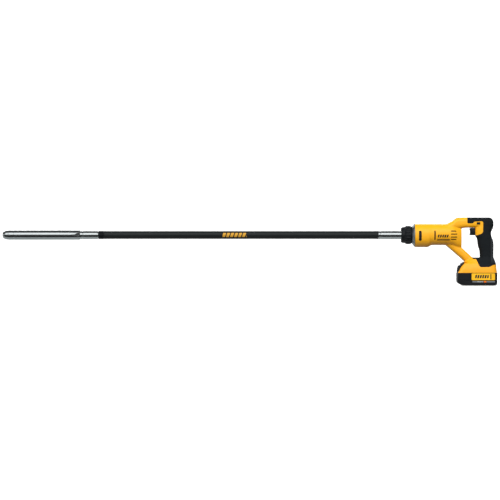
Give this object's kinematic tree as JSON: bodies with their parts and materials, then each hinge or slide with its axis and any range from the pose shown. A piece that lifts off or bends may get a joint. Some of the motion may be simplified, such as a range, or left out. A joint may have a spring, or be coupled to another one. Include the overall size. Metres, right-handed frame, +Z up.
{
  "type": "concrete vibrator",
  "caption": "Cordless concrete vibrator: D-handled motor unit with slide-on battery, long rubber-covered shaft casing and slim steel vibrating head.",
  "frame": {"origin": "centre of the battery pack's flat underside, on which the tool is set down", "axes": "+Z up; the shaft runs along X with the vibrating head towards -X; the tool's left side faces -Y"},
  "size_m": [1.4833, 0.0757, 0.2046],
  "materials": {
    "yellow_housing": "lightly textured moulding",
    "rubber_grip": "soft overmould",
    "black_plastic": "satin",
    "hose_rubber": "smooth extruded",
    "bright_steel": "turned",
    "dark_steel": "oiled",
    "cast_case": "die cast",
    "copper_winding": "enamelled wire",
    "circuit_board": "solder mask",
    "cell_wrap": "shrink sleeve",
    "red_wire": "insulated",
    "orange_button": "satin"
  },
  "bodies": {
    "motor_unit": {"housing_left": "yellow_housing", "housing_right": "yellow_housing", "grip_left": "rubber_grip", "grip_right": "rubber_grip", "gear_case": "cast_case", "gearbox_plate": "cast_case", "ring_gear": "dark_steel", "shaft_seal": "black_plastic", "spindle_bearing_front": "bright_steel", "spindle_bearing_rear": "bright_steel", "motor_bearing_front": "bright_steel", "motor_bearing_rear": "bright_steel", "stator": "copper_winding", "motor_end_bell": "black_plastic", "switch_module": "black_plastic", "controller_module": "black_plastic", "terminal_block": "black_plastic", "motor_leads": "red_wire", "housing_screw_1": "dark_steel", "housing_screw_2": "dark_steel", "housing_screw_3": "dark_steel", "housing_screw_4": "dark_steel", "housing_screw_5": "dark_steel", "housing_screw_6": "dark_steel", "flange_screw_1": "dark_steel", "flange_screw_2": "dark_steel", "flange_screw_3": "dark_steel", "flange_screw_4": "dark_steel", "coupling_tube": "bright_steel", "hose": "hose_rubber", "hose_liner": "dark_steel", "hose_ferrule": "black_plastic", "head_end_fitting": "bright_steel", "head_tube": "bright_steel", "head_cap": "bright_steel", "head_bearing_front": "bright_steel", "head_bearing_rear": "bright_steel", "head_seal": "black_plastic", "trigger_spring": "bright_steel", "lock_spring": "bright_steel"},
    "drive_line": {"planet_carrier": "bright_steel", "drive_core": "dark_steel", "eccentric_rotor": "dark_steel"},
    "rotor": {"motor_shaft": "bright_steel", "sun_pinion": "bright_steel", "rotor_core": "dark_steel", "cooling_fan": "black_plastic"},
    "planet_1": {"planet_gear_1": "bright_steel"},
    "planet_2": {"planet_gear_2": "bright_steel"},
    "planet_3": {"planet_gear_3": "bright_steel"},
    "collar": {"nose_collar": "black_plastic"},
    "trigger": {"trigger": "black_plastic"},
    "lock_button": {"lock_button": "black_plastic"},
    "battery": {"battery_tray": "black_plastic", "battery_cover": "black_plastic", "cell_pack": "cell_wrap", "battery_board": "circuit_board", "latch_spring": "bright_steel"},
    "release_button": {"release_button": "black_plastic"},
    "gauge_button": {"gauge_button": "orange_button"}
  },
  "joints": [
    {"name": "drive_spin", "type": "hinge", "parent": "motor_unit", "child": "drive_line", "pos_m": [0, 0, 0.152], "axis": [1, 0, 0], "continuous": true},
    {"name": "rotor_spin", "type": "hinge", "parent": "motor_unit", "child": "rotor", "pos_m": [0, 0, 0.152], "axis": [1, 0, 0], "continuous": true},
    {"name": "planet_1_spin", "type": "hinge", "parent": "drive_line", "child": "planet_1", "pos_m": [-0.17, 0.0108, 0.152], "axis": [1, 0, 0], "continuous": true},
    {"name": "planet_2_spin", "type": "hinge", "parent": "drive_line", "child": "planet_2", "pos_m": [-0.17, -0.0054, 0.16135], "axis": [1, 0, 0], "continuous": true},
    {"name": "planet_3_spin", "type": "hinge", "parent": "drive_line", "child": "planet_3", "pos_m": [-0.17, -0.0054, 0.14265], "axis": [1, 0, 0], "continuous": true},
    {"name": "collar_turn", "type": "hinge", "parent": "motor_unit", "child": "collar", "pos_m": [-0.21, 0, 0.152], "axis": [-1, 0, 0], "range_deg": [0, 360]},
    {"name": "trigger_pull", "type": "slide", "parent": "motor_unit", "child": "trigger", "axis": [1, 0, 0], "range_m": [0, 0.0065], "stiffness_N_per_m": 900, "springref_m": -0.002, "deforming": ["trigger_spring"]},
    {"name": "lock_press", "type": "slide", "parent": "motor_unit", "child": "lock_button", "axis": [0, 1, 0], "range_m": [0, 0.003], "stiffness_N_per_m": 600, "springref_m": -0.001, "deforming": ["lock_spring"]},
    {"name": "battery_slide", "type": "slide", "parent": "motor_unit", "child": "battery", "axis": [-1, 0, 0], "range_m": [0, 0.11]},
    {"name": "release_press", "type": "slide", "parent": "battery", "child": "release_button", "axis": [0, 0, -1], "range_m": [0, 0.004], "stiffness_N_per_m": 800, "springref_m": -0.002, "deforming": ["latch_spring"]},
    {"name": "gauge_press", "type": "slide", "parent": "battery", "child": "gauge_button", "axis": [0, 1, 0], "range_m": [0, 0.001], "stiffness_N_per_m": 500, "springref_m": -0.0005}
  ],
  "couplings": [
    {"joint": "rotor_spin", "follows": "drive_spin", "ratio": 3},
    {"joint": "planet_1_spin", "follows": "drive_spin", "ratio": -4},
    {"joint": "planet_2_spin", "follows": "drive_spin", "ratio": -4},
    {"joint": "planet_3_spin", "follows": "drive_spin", "ratio": -4}
  ]
}
